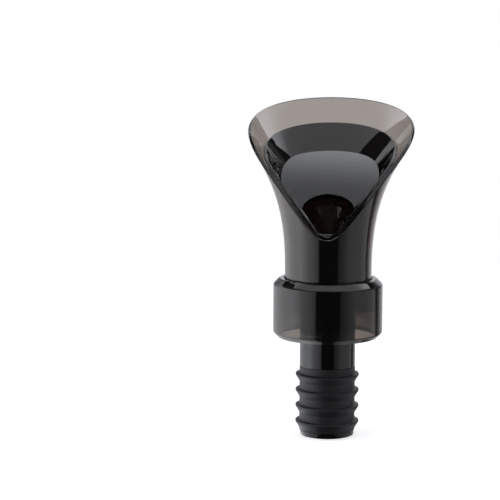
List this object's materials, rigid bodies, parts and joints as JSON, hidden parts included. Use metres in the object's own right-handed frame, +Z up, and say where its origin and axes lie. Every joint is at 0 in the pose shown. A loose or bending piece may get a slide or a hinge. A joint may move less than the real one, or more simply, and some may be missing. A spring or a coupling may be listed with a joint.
{
  "type": "wine pourer stopper",
  "caption": "Flower-shaped pourer stopper for a bottle: ribbed plug stem, lip collar, and nested flared petals that turn against each other to open a half-moon valve.",
  "frame": {"origin": "on the stem's axis at the tip of the plug, which the part stands on", "axes": "+Z up along the stem's axis, -Y towards the low side of both petals, +X to the right seen from there"},
  "size_m": [0.0526, 0.0538, 0.1042],
  "materials": {
    "smoke": "glossy see-through smoke grey",
    "dark_smoke": "glossy dark smoke, nearly opaque",
    "silicone": "matte black silicone"
  },
  "bodies": {
    "base": {"stem": "dark_smoke", "seal_sleeve": "silicone", "collar": "smoke", "valve_gasket": "silicone", "outer_petal": "smoke"},
    "rotor": {"valve_rotor": "dark_smoke", "rotor_o_ring": "silicone", "inner_petal": "dark_smoke", "pour_plate": "dark_smoke"}
  },
  "joints": [
    {"name": "petal_turn", "type": "hinge", "parent": "base", "child": "rotor", "pos_m": [0, 0, 0.05], "axis": [0, 0, 1], "range_deg": [0, 180]}
  ]
}
